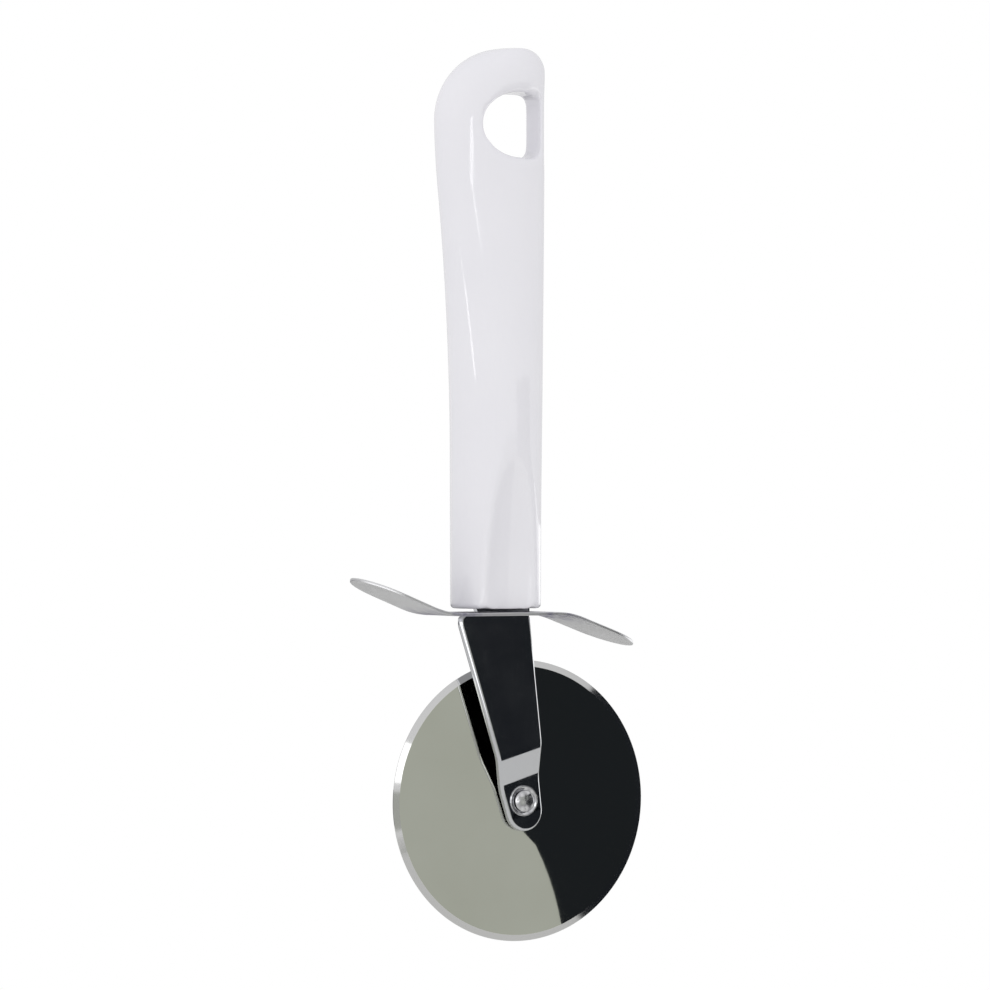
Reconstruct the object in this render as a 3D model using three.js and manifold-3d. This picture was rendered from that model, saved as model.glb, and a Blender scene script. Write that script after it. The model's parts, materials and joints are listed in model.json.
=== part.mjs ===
// Pastry cutter wheel: a polished disc blade riveted to a cranked steel arm, with an S-shaped
// finger guard and a moulded handle that hangs from a hole in its head.
//
// Everything is modelled in the handle's own frame, in millimetres: X across the handle,
// Y from front to back, Z up from the handle's mouth. The last group moves the centre of the
// hanging hole to the origin.

import * as THREE from 'three';
import { mergeVertices } from 'three/addons/utils/BufferGeometryUtils.js';
import Module from 'manifold-3d';

const wasm = await Module();
wasm.setup();

// ---------------------------------------------------------------- driving dimensions

// handle
const handleLength = 128.6;
const handleSides = 40;
const gripHalfWidth = 10.6;
const mouthHalfDepth = 9.85;
const gripHalfDepth = 10.3;
const gripFullHeight = 36;
const mouthRound = 1.0;
const swellStart = 36;
const swellTurnBelowTop = 32.3;
const swellEndBelowTop = 14;
const swellPower = 1.7;
const swellLeft = 4.9;
const bulgeStart = 20;
const bulgeEndBelowTop = 16.6;
const bulgeRight = 1.7;
const headHalfDepth = 7.0;
const shoulderRise = 17;
const shoulderReach = 18;
const cornerRadius = 5.5;
const crownRise = 7.0;
const crownHalfDepth = 3.4;

// hollows for thumb and finger at the handle's mouth, one in front and one behind
const hollowRadius = 17;
const hollowHalfHeight = 60.8;
const hollowOut = 23.1;
const hollowDrop = 4;

// hanging hole, a D with its flat side towards the handle's straight edge
const holeBelowTop = 17.7;
const holeCentreX = 1.75;
const holeWidth = 15.7;
const holeTall = 14.9;
const holeRoundWidth = 9.6;
const holeCorner = 2.2;
const holeRim = 1.4;

// steel plate that is tang, neck and arm in one
const plateThickness = 1.6;
const tangWidth = 13.9;
const tangCentreX = 1.45;
const tangLength = 74;
const tangTopWidth = 10;
const tangTopCentreX = 0.6;
const tangTopRadius = 3;
const lockHoleRadius = 2.6;
const lockHoleHeights = [16, 37, 58];
const shoulderWidth = 18.5;
const shoulderCentreX = -0.45;
const shoulderDrop = 2.2;
const tipCentreX = 9.05;
const tipDrop = 46.9;
const tipRadius = 4.75;

// crank that carries the arm's end back towards the wheel
const crankOffset = 2.8;
const crankTilt = THREE.MathUtils.degToRad(16);
const crankTopAboveAxle = 11.5;
const crankFootAboveAxle = 4.5;

// axle and wheel
const axleX = 8.35;
const axleDrop = 44.57;
const wheelDiameter = 65;
const wheelThickness = 1.0;
const wheelEdge = 0.25;
const bevelWidth = 1.45;
const wheelGap = 0.4;
const shankRadius = 1.5;
const shoulderRadius = 2.5;
const frontHeadRadius = 2.5;
const frontHeadHeight = 0.8;
const rearHeadRadius = 4.6;
const rearHeadHeight = 1.3;
const frontWasherRadius = 3.5;
const frontWasherThickness = 0.35;
const rearWasherRadius = 5.4;
const rearWasherThickness = 0.5;

// finger guard
const guardGap = 0.85;
const guardThickness = 0.75;
const guardWidth = 17;
const guardLength = 71.5;
const guardCentreX = -0.65;
const guardBendAt = 15.8;
const guardBendRadius = 20;
const guardBendAngle = THREE.MathUtils.degToRad(21.8);
const guardTipLength = 9;

// tack welds under the guard
const leftWeldHalfLength = 2.2;
const rightWeldHalfLength = 1.3;
const weldRadius = 1.4;
const weldInset = 2.0;

// fits
const seatGap = 0.1;
const slotClearance = 0.3;
const tangClearance = 0.3;
const boreClearance = 0.08;
const washerBoreClearance = 0.2;
const wheelEndPlay = 0.3;

// facets of the round parts
const wheelSegments = 120;
const axleSegments = 48;

// ---------------------------------------------------------------- derived places

const holeHeight = handleLength - holeBelowTop;
const bulgeEnd = handleLength - bulgeEndBelowTop;
const swellTurn = handleLength - swellTurnBelowTop;
const swellEnd = handleLength - swellEndBelowTop;
const plateFront = -plateThickness / 2;
const plateBack = plateThickness / 2;
const tabFront = plateFront + crankOffset;
const tabBack = plateBack + crankOffset;
const wheelFront = tabBack + wheelGap;
const wheelBack = wheelFront + wheelThickness;
const guardTop = -guardGap;
const guardFoot = guardTop - guardThickness;
const plateShoulder = guardFoot - seatGap;
const axleZ = -axleDrop;

// ---------------------------------------------------------------- solids

function solid(geometry) {
  const bare = geometry.index ? geometry.toNonIndexed() : geometry.clone();
  bare.deleteAttribute('normal');
  bare.deleteAttribute('uv');
  const merged = mergeVertices(bare, 1e-4);
  return new wasm.Manifold(new wasm.Mesh({
    numProp: 3,
    vertProperties: new Float32Array(merged.attributes.position.array),
    triVerts: new Uint32Array(merged.index.array),
  }));
}

function geometryOf(manifold) {
  const mesh = manifold.getMesh();
  const geometry = new THREE.BufferGeometry();
  geometry.setAttribute('position', new THREE.BufferAttribute(mesh.vertProperties, 3));
  geometry.setIndex(new THREE.BufferAttribute(mesh.triVerts, 1));
  geometry.computeVertexNormals();
  return geometry;
}

function piece(name, shape, material) {
  const geometry = shape.isBufferGeometry ? shape : geometryOf(shape);
  const mesh = new THREE.Mesh(geometry, material);
  mesh.name = name;
  return mesh;
}

// A prism whose outline is drawn in X and Z and whose length runs along Y.
function prismAlongY(shape, front, back, options = {}) {
  const geometry = new THREE.ExtrudeGeometry(shape, {
    depth: back - front,
    bevelEnabled: false,
    curveSegments: 16,
    ...options,
  });
  geometry.rotateX(Math.PI / 2);
  geometry.translate(0, back, 0);
  return geometry;
}

// Rings and turned pieces share the axle: radii run outwards and the profile's height is Y.
function turned(profile, segments) {
  const points = profile.map(([radius, y]) => new THREE.Vector2(radius, y));
  return new THREE.LatheGeometry(points, segments);
}

function ring(innerRadius, outerRadius, front, back, segments) {
  return turned([
    [innerRadius, front],
    [outerRadius, front],
    [outerRadius, back],
    [innerRadius, back],
    [innerRadius, front],
  ], segments);
}

// ---------------------------------------------------------------- handle

const smooth = (from, to, value) => THREE.MathUtils.smoothstep(value, from, to);

// Quarter-ellipse fall-off: 1 up to start, then down to 0 over the rise.
function fall(height, rise) {
  const t = THREE.MathUtils.clamp((height - (handleLength - rise)) / rise, 0, 1);
  return Math.sqrt(1 - t * t);
}

// Share of the left side's swell: gathering up the grip, then easing off into the head.
function swell(height) {
  const below = swellTurn - swellStart;
  const above = swellEnd - swellTurn;
  const atTurn = (2 * below) / (2 * below + swellPower * above);
  if (height <= swellStart) return 0;
  if (height < swellTurn) return atTurn * ((height - swellStart) / below) ** swellPower;
  const left = Math.max(0, (swellEnd - height) / above);
  return 1 - (1 - atTurn) * left ** 2;
}

// Centre, half width and half depth of the handle's oval section at a height.
function handleSection(height) {
  const bulge = smooth(bulgeStart, bulgeEnd, height);
  const inset = mouthRound * (1 - Math.sqrt(1 - Math.max(0, 1 - height / mouthRound) ** 2));
  const fullLeft = gripHalfWidth + swellLeft * swell(height);
  const fullRight = gripHalfWidth + bulgeRight * bulge;
  const left = fullLeft - shoulderReach * (1 - fall(height, shoulderRise)) - inset;
  const right = fullRight - cornerRadius * (1 - fall(height, cornerRadius)) - inset;
  const lower = mouthHalfDepth
    + (gripHalfDepth - mouthHalfDepth) * smooth(0, gripFullHeight, height);
  const upper = lower - (gripHalfDepth - headHalfDepth) * smooth(gripFullHeight, bulgeEnd, height);
  const depth = upper - (headHalfDepth - crownHalfDepth) * (1 - fall(height, crownRise)) - inset;
  return { centre: (right - left) / 2, width: (right + left) / 2, depth };
}

// Heights of the handle's rings, closer together round the mouth and over the head.
function handleHeights() {
  const heights = [];
  const mouthSteps = 3;
  for (let i = 0; i < mouthSteps; i++) {
    heights.push(mouthRound * (1 - Math.cos((i / mouthSteps) * Math.PI / 2)));
  }
  const bodySteps = 14;
  const headStart = handleLength - shoulderRise;
  for (let i = 0; i <= bodySteps; i++) {
    heights.push(mouthRound + ((headStart - mouthRound) * i) / bodySteps);
  }
  const headSteps = 10;
  for (let i = 1; i <= headSteps; i++) {
    heights.push(headStart + shoulderRise * Math.sin((i / headSteps) * Math.PI / 2));
  }
  return heights;
}

function handleBody() {
  const heights = handleHeights();
  const rings = heights.length - 1;
  const geometry = new THREE.CylinderGeometry(1, 1, 1, handleSides, rings);
  const position = geometry.attributes.position;
  for (let i = 0; i < position.count; i++) {
    const height = heights[Math.round((position.getY(i) + 0.5) * rings)];
    const section = handleSection(height);
    const x = section.centre + section.width * position.getX(i);
    const y = -section.depth * position.getZ(i);
    position.setXYZ(i, x, y, height);
  }
  return solid(geometry);
}

// Outline of the hanging hole: half an oval to the left, small corners to the right.
function holeShape() {
  const middle = holeCentreX - holeWidth / 2 + holeRoundWidth;
  const right = holeCentreX + holeWidth / 2;
  const half = holeTall / 2;
  const shape = new THREE.Shape();
  shape.moveTo(middle, -half);
  shape.lineTo(right - holeCorner, -half);
  shape.absarc(right - holeCorner, holeCorner - half, holeCorner, -Math.PI / 2, 0);
  shape.absarc(right - holeCorner, half - holeCorner, holeCorner, 0, Math.PI / 2);
  shape.lineTo(middle, half);
  shape.absellipse(middle, 0, holeRoundWidth, half, Math.PI / 2, 1.5 * Math.PI);
  return shape;
}

function hangingHole() {
  const through = 2 * gripHalfDepth;
  const cut = prismAlongY(holeShape(), -through, through, { curveSegments: 8 });
  cut.translate(0, 0, holeHeight);
  return solid(cut);
}

// A plug that widens outwards, so that it leaves a broken edge round the hole's mouth.
function holeMouth(side) {
  const plug = prismAlongY(holeShape(), 0, gripHalfDepth, {
    curveSegments: 8,
    bevelEnabled: true,
    bevelSegments: 1,
    bevelSize: holeRim,
    bevelThickness: holeRim,
  });
  const reach = headHalfDepth;
  plug.translate(0, side > 0 ? reach : -reach - gripHalfDepth, holeHeight);
  return solid(plug);
}

// The long round form that scoops the hollow out of one side of the handle.
function hollow(side) {
  const form = new THREE.SphereGeometry(1, 48, 40);
  form.scale(hollowRadius, hollowRadius, hollowHalfHeight);
  form.translate(0, side * hollowOut, -hollowDrop);
  return solid(form);
}

// ---------------------------------------------------------------- tang, neck and arm

function lockHole(height, radius) {
  const along = height / tangLength;
  const x = THREE.MathUtils.lerp(tangCentreX, tangTopCentreX, along);
  const hole = new THREE.Path();
  hole.absarc(x, height, radius, 0, 2 * Math.PI, true);
  return hole;
}

// The tang's sides and top, drawn from the lower right corner round to the lower left one.
function drawTang(shape, grow) {
  const bottomHalf = tangWidth / 2 + grow;
  const topHalf = tangTopWidth / 2 + grow;
  const top = tangLength + grow;
  const radius = tangTopRadius + grow;
  const right = tangTopCentreX + topHalf;
  const left = tangTopCentreX - topHalf;
  shape.lineTo(tangCentreX + bottomHalf, 0);
  shape.lineTo(right, top - radius);
  shape.absarc(right - radius, top - radius, radius, 0, Math.PI / 2);
  shape.absarc(left + radius, top - radius, radius, Math.PI / 2, Math.PI);
  shape.lineTo(tangCentreX - bottomHalf, 0);
}

// The pocket that the tang fills, with a post left standing in each lock hole.
function tangPocket() {
  const shape = new THREE.Shape();
  const bottomHalf = tangWidth / 2 + tangClearance;
  shape.moveTo(tangCentreX - bottomHalf, -mouthRound);
  shape.lineTo(tangCentreX + bottomHalf, -mouthRound);
  drawTang(shape, tangClearance);
  for (const height of lockHoleHeights) {
    shape.holes.push(lockHole(height, lockHoleRadius - tangClearance));
  }
  const half = plateThickness / 2 + tangClearance;
  return solid(prismAlongY(shape, -half, half));
}

// Where a line from an outside point touches the tip circle; side is 1 left and -1 right.
function tipTangent(fromX, fromZ, side) {
  const dx = tipCentreX - fromX;
  const dz = -tipDrop - fromZ;
  const distance = Math.hypot(dx, dz);
  const towards = Math.atan2(dz, dx) - side * Math.asin(tipRadius / distance);
  const length = Math.sqrt(distance ** 2 - tipRadius ** 2);
  return [fromX + length * Math.cos(towards), fromZ + length * Math.sin(towards)];
}

function plateShape() {
  const left = shoulderCentreX - shoulderWidth / 2;
  const right = shoulderCentreX + shoulderWidth / 2;
  const sideTop = plateShoulder - shoulderDrop;
  const [leftX, leftZ] = tipTangent(left, sideTop, 1);
  const [rightX, rightZ] = tipTangent(right, plateShoulder, -1);
  const from = Math.atan2(leftZ + tipDrop, leftX - tipCentreX);
  const to = Math.atan2(rightZ + tipDrop, rightX - tipCentreX);
  const shape = new THREE.Shape();
  shape.moveTo(tangCentreX - tangWidth / 2, plateShoulder);
  shape.lineTo(left, plateShoulder);
  shape.lineTo(left, sideTop);
  shape.lineTo(leftX, leftZ);
  shape.absarc(tipCentreX, -tipDrop, tipRadius, from, to);
  shape.lineTo(right, plateShoulder);
  shape.lineTo(tangCentreX + tangWidth / 2, plateShoulder);
  drawTang(shape, 0);
  for (const height of lockHoleHeights) {
    shape.holes.push(lockHole(height, lockHoleRadius));
  }
  const rivetHole = new THREE.Path();
  rivetHole.absarc(axleX, axleZ, shankRadius + seatGap, 0, 2 * Math.PI, true);
  shape.holes.push(rivetHole);
  return shape;
}

// Side view of the cranked strip, drawn with Y across and the height above the axle up.
function crankProfile() {
  const slope = Math.atan(crankOffset / (crankTopAboveAxle - crankFootAboveAxle));
  const mitre = (plateThickness / 2) * Math.tan(slope / 2);
  const top = axleDrop + tangLength + 2 * shoulderWidth;
  const foot = -2 * tipRadius - shoulderWidth;
  return new THREE.Shape([
    new THREE.Vector2(plateFront, top),
    new THREE.Vector2(plateFront, crankTopAboveAxle - mitre),
    new THREE.Vector2(tabFront, crankFootAboveAxle - mitre),
    new THREE.Vector2(tabFront, foot),
    new THREE.Vector2(tabBack, foot),
    new THREE.Vector2(tabBack, crankFootAboveAxle + mitre),
    new THREE.Vector2(plateBack, crankTopAboveAxle + mitre),
    new THREE.Vector2(plateBack, top),
  ]);
}

// The strip's width runs along the bend lines, which tilt across the arm.
function crankedStrip() {
  const halfWidth = tangLength;
  const geometry = new THREE.ExtrudeGeometry(crankProfile(), {
    depth: 2 * halfWidth,
    bevelEnabled: false,
  });
  geometry.translate(0, 0, -halfWidth);
  geometry.rotateX(Math.PI / 2);
  geometry.rotateZ(Math.PI / 2);
  geometry.rotateY(-crankTilt);
  geometry.translate(axleX, 0, axleZ);
  return solid(geometry);
}

function armPlate() {
  const reach = plateThickness + crankOffset;
  return solid(prismAlongY(plateShape(), -reach, reach)).intersect(crankedStrip());
}

// ---------------------------------------------------------------- finger guard

// One half of the guard's centre line, from the middle outwards: distance, rise and slope.
function wingStations() {
  const tangent = guardBendRadius * Math.tan(guardBendAngle / 2);
  const arcStart = guardBendAt - tangent;
  const stations = [];
  const steps = 6;
  for (let i = 0; i <= steps; i++) {
    const angle = (guardBendAngle * i) / steps;
    stations.push({
      out: arcStart + guardBendRadius * Math.sin(angle),
      rise: guardBendRadius * (1 - Math.cos(angle)),
      angle,
    });
  }
  const tipOut = guardLength / 2 + guardThickness;
  const tipRise = (tipOut - guardBendAt) * Math.tan(guardBendAngle);
  stations.push({ out: tipOut, rise: tipRise, angle: guardBendAngle });
  return stations;
}

// The S in side view: the left wing rises and the right wing falls by the same curve.
function guardProfile() {
  const middle = (guardTop + guardFoot) / 2;
  const half = guardThickness / 2;
  const wing = wingStations();
  const line = [
    ...wing.map(({ out, rise, angle }) => ({ x: -out, z: rise, angle })).reverse(),
    ...wing.map(({ out, rise, angle }) => ({ x: out, z: -rise, angle })),
  ];
  const side = (sign) => line.map(({ x, z, angle }) => new THREE.Vector2(
    guardCentreX + x + sign * half * Math.sin(angle),
    middle + z + sign * half * Math.cos(angle),
  ));
  return new THREE.Shape([...side(-1), ...side(1).reverse()]);
}

// Plan of the guard: parallel sides and half-elliptical tips.
function guardPlan() {
  const tipStart = guardLength / 2 - guardTipLength;
  const half = guardWidth / 2;
  const shape = new THREE.Shape();
  shape.moveTo(-tipStart, -half);
  shape.lineTo(tipStart, -half);
  shape.absellipse(tipStart, 0, guardTipLength, half, -Math.PI / 2, Math.PI / 2);
  shape.lineTo(-tipStart, half);
  shape.absellipse(-tipStart, 0, guardTipLength, half, Math.PI / 2, 1.5 * Math.PI);
  return shape;
}

function guardSlot() {
  const slot = new THREE.BoxGeometry(
    tangWidth + 2 * slotClearance,
    plateThickness + 2 * slotClearance,
    4 * guardThickness,
  );
  slot.translate(tangCentreX, 0, guardTop);
  return solid(slot);
}

function guardStrip() {
  const height = guardLength;
  const plan = new THREE.ExtrudeGeometry(guardPlan(), {
    depth: height,
    bevelEnabled: false,
    curveSegments: 16,
  });
  plan.translate(guardCentreX, 0, -height / 2);
  const strip = solid(prismAlongY(guardProfile(), -guardWidth, guardWidth));
  return strip.intersect(solid(plan)).subtract(guardSlot());
}

// A tack of weld metal in the corner between the guard and the front of the arm.
function tackWeld(centreX, halfLength) {
  const bead = new THREE.SphereGeometry(1, 20, 12);
  bead.scale(halfLength, weldRadius, weldRadius);
  bead.translate(centreX, plateFront, guardFoot);
  const corner = new THREE.BoxGeometry(3 * halfLength, 2 * weldRadius, 2 * weldRadius);
  corner.translate(centreX, plateFront - seatGap - weldRadius, guardFoot - seatGap - weldRadius);
  return solid(bead).intersect(solid(corner));
}

// ---------------------------------------------------------------- wheel and axle

function wheelDisc() {
  const bore = shoulderRadius + boreClearance;
  const rim = wheelDiameter / 2;
  const middle = (wheelFront + wheelBack) / 2;
  return turned([
    [bore, wheelFront],
    [rim - bevelWidth, wheelFront],
    [rim, middle - wheelEdge / 2],
    [rim, middle + wheelEdge / 2],
    [rim - bevelWidth, wheelBack],
    [bore, wheelBack],
    [bore, wheelFront],
  ], wheelSegments);
}

const frontWasherBack = tabFront - seatGap;
const frontWasherFront = frontWasherBack - frontWasherThickness;
const rearWasherFront = wheelBack + wheelEndPlay;
const rearWasherBack = rearWasherFront + rearWasherThickness;

// A low dome from the axis to its edge, as points of a turned profile.
function dome(radius, apex, edge) {
  const steps = 6;
  const points = [];
  for (let i = 0; i <= steps; i++) {
    const angle = (i / steps) * (Math.PI / 2);
    points.push([radius * Math.sin(angle), edge + (apex - edge) * Math.cos(angle)]);
  }
  return points;
}

// Peened front head, shank through the arm, shoulder that the wheel turns on, rear head.
function axleRivet() {
  const headSeat = frontWasherFront - seatGap;
  const rearSeat = rearWasherBack + seatGap;
  const shoulderFront = tabBack + seatGap;
  const frontDome = dome(frontHeadRadius, headSeat - frontHeadHeight, headSeat - seatGap);
  const rearDome = dome(rearHeadRadius, rearSeat + rearHeadHeight, rearSeat + rearHeadHeight / 3);
  return turned([
    ...frontDome,
    [frontHeadRadius, headSeat],
    [shankRadius, headSeat],
    [shankRadius, shoulderFront],
    [shoulderRadius, shoulderFront],
    [shoulderRadius, rearSeat],
    [rearHeadRadius, rearSeat],
    ...rearDome.reverse(),
  ], axleSegments);
}

function frontWasher() {
  const bore = shankRadius + washerBoreClearance;
  return ring(bore, frontWasherRadius, frontWasherFront, frontWasherBack, axleSegments);
}

function rearWasher() {
  const bore = shoulderRadius + washerBoreClearance;
  return ring(bore, rearWasherRadius, rearWasherFront, rearWasherBack, axleSegments);
}

// ---------------------------------------------------------------- materials and assembly

function finish(color, roughness, metalness) {
  return new THREE.MeshStandardMaterial({ color, roughness, metalness });
}

const mouldedPlastic = finish(0xe7e6ea, 0.3, 0);
const satinSteel = finish(0xb4b4b6, 0.4, 1);
const polishedSteel = finish(0xc9cac6, 0.12, 1);
const brushedSteel = finish(0xa9abae, 0.28, 1);
const weldSteel = finish(0x9a9a9c, 0.5, 1);

function handle() {
  const body = handleBody()
    .subtract(hangingHole())
    .subtract(holeMouth(1))
    .subtract(holeMouth(-1))
    .subtract(hollow(1))
    .subtract(hollow(-1))
    .subtract(tangPocket());
  return piece('handle', body, mouldedPlastic);
}

// Everything that turns or clamps on the axle, built about the axle's own axis.
function axleGroup() {
  const group = new THREE.Group();
  group.add(piece('cutting_wheel', wheelDisc(), polishedSteel));
  group.add(piece('axle_rivet', axleRivet(), brushedSteel));
  group.add(piece('front_washer', frontWasher(), brushedSteel));
  group.add(piece('rear_washer', rearWasher(), brushedSteel));
  group.position.set(axleX, 0, axleZ);
  return group;
}

function guardGroup() {
  const group = new THREE.Group();
  const left = shoulderCentreX - shoulderWidth / 2 + weldInset;
  const right = shoulderCentreX + shoulderWidth / 2 - weldInset;
  group.add(piece('finger_guard', guardStrip(), satinSteel));
  group.add(piece('guard_weld_left', tackWeld(left, leftWeldHalfLength), weldSteel));
  group.add(piece('guard_weld_right', tackWeld(right, rightWeldHalfLength), weldSteel));
  return group;
}

const cutter = new THREE.Group();
cutter.add(handle());
cutter.add(piece('arm_and_tang', armPlate(), brushedSteel));
cutter.add(guardGroup());
cutter.add(axleGroup());
cutter.position.set(-holeCentreX, 0, -holeHeight);

export default new THREE.Group().add(cutter);
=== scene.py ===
import bmesh
import bpy
import json
import math
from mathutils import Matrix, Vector


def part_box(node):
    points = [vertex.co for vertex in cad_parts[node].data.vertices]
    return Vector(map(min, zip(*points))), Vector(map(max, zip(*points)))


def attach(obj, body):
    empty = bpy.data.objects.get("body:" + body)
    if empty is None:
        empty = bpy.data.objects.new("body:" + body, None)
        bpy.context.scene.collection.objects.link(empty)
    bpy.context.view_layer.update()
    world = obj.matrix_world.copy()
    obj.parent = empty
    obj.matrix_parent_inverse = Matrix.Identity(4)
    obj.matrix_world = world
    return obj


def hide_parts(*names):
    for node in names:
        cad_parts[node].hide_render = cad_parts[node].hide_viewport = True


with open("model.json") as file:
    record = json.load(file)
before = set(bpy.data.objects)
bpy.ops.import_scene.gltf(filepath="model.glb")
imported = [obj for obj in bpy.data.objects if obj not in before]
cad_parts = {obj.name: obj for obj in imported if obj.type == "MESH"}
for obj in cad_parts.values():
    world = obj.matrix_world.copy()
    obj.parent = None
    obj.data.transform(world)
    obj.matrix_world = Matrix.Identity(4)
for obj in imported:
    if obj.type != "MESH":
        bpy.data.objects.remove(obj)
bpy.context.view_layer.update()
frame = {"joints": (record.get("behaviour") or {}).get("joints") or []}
mm = 0.001

# places that the frame gives
handleLow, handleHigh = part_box("handle")
guardLow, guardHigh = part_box("finger_guard")
wheelLow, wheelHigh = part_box("cutting_wheel")
mouthZ = handleLow.z
handleLength = (handleHigh.z - handleLow.z) / mm
axle = Vector(frame["joints"][0]["pos_m"])
axisX = -1.75 * mm       # the handle's own middle line, to the left of the hanging hole's centre
print("frame loaded, handle", round(handleLength, 1), "mm long")


# ---- small helpers

def hexColour(code):
    def linear(part):
        value = int(part, 16) / 255
        return value / 12.92 if value <= 0.04045 else ((value + 0.055) / 1.055) ** 2.4
    return (linear(code[1:3]), linear(code[3:5]), linear(code[5:7]), 1)


def deselectAll():
    if bpy.context.mode != "OBJECT":
        bpy.ops.object.mode_set(mode="OBJECT")
    bpy.ops.object.select_all(action="DESELECT")


def onlySelect(obj):
    deselectAll()
    obj.select_set(True)
    bpy.context.view_layer.objects.active = obj


def startEdit(obj, kind="VERT"):
    onlySelect(obj)
    bpy.ops.object.mode_set(mode="EDIT")
    bpy.ops.mesh.select_mode(type=kind)
    bpy.ops.mesh.select_all(action="DESELECT")


def endEdit():
    bpy.ops.object.mode_set(mode="OBJECT")


def pickVerts(obj, test):
    mesh = bmesh.from_edit_mesh(obj.data)
    bpy.ops.mesh.select_all(action="DESELECT")
    for vert in mesh.verts:
        if test(vert.co):
            vert.select_set(True)
    mesh.select_flush_mode()
    bmesh.update_edit_mesh(obj.data)


def settle(obj, name):
    onlySelect(obj)
    bpy.ops.object.transform_apply(location=True, rotation=True, scale=True)
    obj.name = name
    obj.data.name = name
    return obj


def applyModifier(obj, kind, **settings):
    onlySelect(obj)
    modifier = obj.modifiers.new(kind.lower(), kind)
    for key, value in settings.items():
        setattr(modifier, key, value)
    bpy.ops.object.modifier_apply(modifier=modifier.name)


def cutAway(obj, cutter):
    applyModifier(obj, "BOOLEAN", operation="DIFFERENCE", object=cutter, solver="EXACT")
    bpy.data.objects.remove(cutter)


def cubeCutter(name, centre, size):
    deselectAll()
    bpy.ops.mesh.primitive_cube_add(size=1, location=centre)
    cutter = bpy.context.object
    startEdit(cutter)
    bpy.ops.mesh.select_all(action="SELECT")
    bpy.ops.transform.resize(value=size, center_override=cutter.location)
    endEdit()
    return settle(cutter, name)


def copyOf(obj, name):
    twin = obj.copy()
    twin.data = obj.data.copy()
    twin.name = name
    bpy.context.scene.collection.objects.link(twin)
    return twin


def smooth(start, end, value):
    t = min(1, max(0, (value - start) / (end - start)))
    return t * t * (3 - 2 * t)


# An outline is drawn by putting down one vertex and extruding it from point to point.
def drawOutline(name, points, closed=True):
    deselectAll()
    bpy.ops.mesh.primitive_plane_add(size=mm, location=(0, 0, 0))
    obj = bpy.context.object
    startEdit(obj)
    bpy.ops.mesh.select_all(action="SELECT")
    bpy.ops.mesh.merge(type="CENTER")
    bpy.ops.mesh.select_all(action="SELECT")
    bpy.ops.transform.translate(value=points[0])
    for here, there in zip(points, points[1:]):
        bpy.ops.mesh.extrude_vertices_move(TRANSFORM_OT_translate={"value": there - here})
    bpy.ops.mesh.select_all(action="SELECT")
    if closed:
        bpy.ops.mesh.edge_face_add()
    endEdit()
    return settle(obj, name)


def arc(centre, radius, start, end, steps, squash=1):
    points = []
    for i in range(steps + 1):
        angle = math.radians(start + (end - start) * i / steps)
        points.append((centre[0] + radius * math.cos(angle),
                       centre[1] + radius * squash * math.sin(angle)))
    return points


def thicken(obj, offset):
    startEdit(obj)
    bpy.ops.mesh.select_all(action="SELECT")
    bpy.ops.mesh.extrude_region_move(TRANSFORM_OT_translate={"value": offset})
    bpy.ops.mesh.select_all(action="SELECT")
    bpy.ops.mesh.normals_make_consistent(inside=False)
    endEdit()


def cutAcross(obj, point, normal):
    startEdit(obj)
    bpy.ops.mesh.select_all(action="SELECT")
    bpy.ops.mesh.bisect(plane_co=point, plane_no=normal)
    endEdit()


# A turned part: its profile is drawn beside the axle as (radius, distance back) and spun round it.
def turn(name, profile, steps):
    points = [Vector((axle.x + radius * mm, back * mm, axle.z)) for radius, back in profile]
    obj = drawOutline(name, points, closed=False)
    startEdit(obj)
    bpy.ops.mesh.select_all(action="SELECT")
    bpy.ops.mesh.spin(steps=steps, angle=2 * math.pi, center=axle, axis=(0, 1, 0))
    bpy.ops.mesh.select_all(action="SELECT")
    bpy.ops.mesh.remove_doubles(threshold=0.002 * mm)
    bpy.ops.mesh.normals_make_consistent(inside=False)
    endEdit()
    return obj


def smoothShade(obj, degrees, weighted=False):
    onlySelect(obj)
    bpy.ops.object.shade_smooth_by_angle(angle=math.radians(degrees))
    if weighted:
        applyModifier(obj, "WEIGHTED_NORMAL", keep_sharp=True, weight=80)


def finishPiece(obj, node, body, material):
    obj.data.materials.clear()
    obj.data.materials.append(material)
    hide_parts(node)
    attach(obj, body)
    print("made", obj.name, len(obj.data.polygons), "faces")


# ---- materials

def newMaterial(name, **shader):
    material = bpy.data.materials.new(name)
    material.use_nodes = True
    tree = material.node_tree
    main = tree.nodes["Principled BSDF"]
    for key, value in shader.items():
        main.inputs[key.replace("_", " ")].default_value = value
    return material, tree, main


# Adds one node: its settings, then what goes into it (numbers, colours or another node's output)
# and where its own outputs go.
def addNode(tree, kind, settings=None, inputs=None, outputs=None):
    node = tree.nodes.new(kind)
    for key, value in (settings or {}).items():
        setattr(node, key, value)
    for key, value in (inputs or {}).items():
        if isinstance(value, bpy.types.NodeSocket):
            tree.links.new(value, node.inputs[key])
        else:
            node.inputs[key].default_value = value
    for key, socket in (outputs or {}).items():
        tree.links.new(node.outputs[key], socket)
    return node


plasticLook = {
    "light": "#EAE9EE", "shade": "#E4E3E9",
    "cloudSize": 22,        # mm across the faint clouds in the masterbatch
    "handledSize": 9,       # mm across the patches that hands have dulled a little
    "rippleSize": 1.6,      # mm between the soft ripples that a polished mould leaves
    "rippleDepth": 0.0012,
    "glossLow": 0.035, "glossHigh": 0.06,
}


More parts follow.
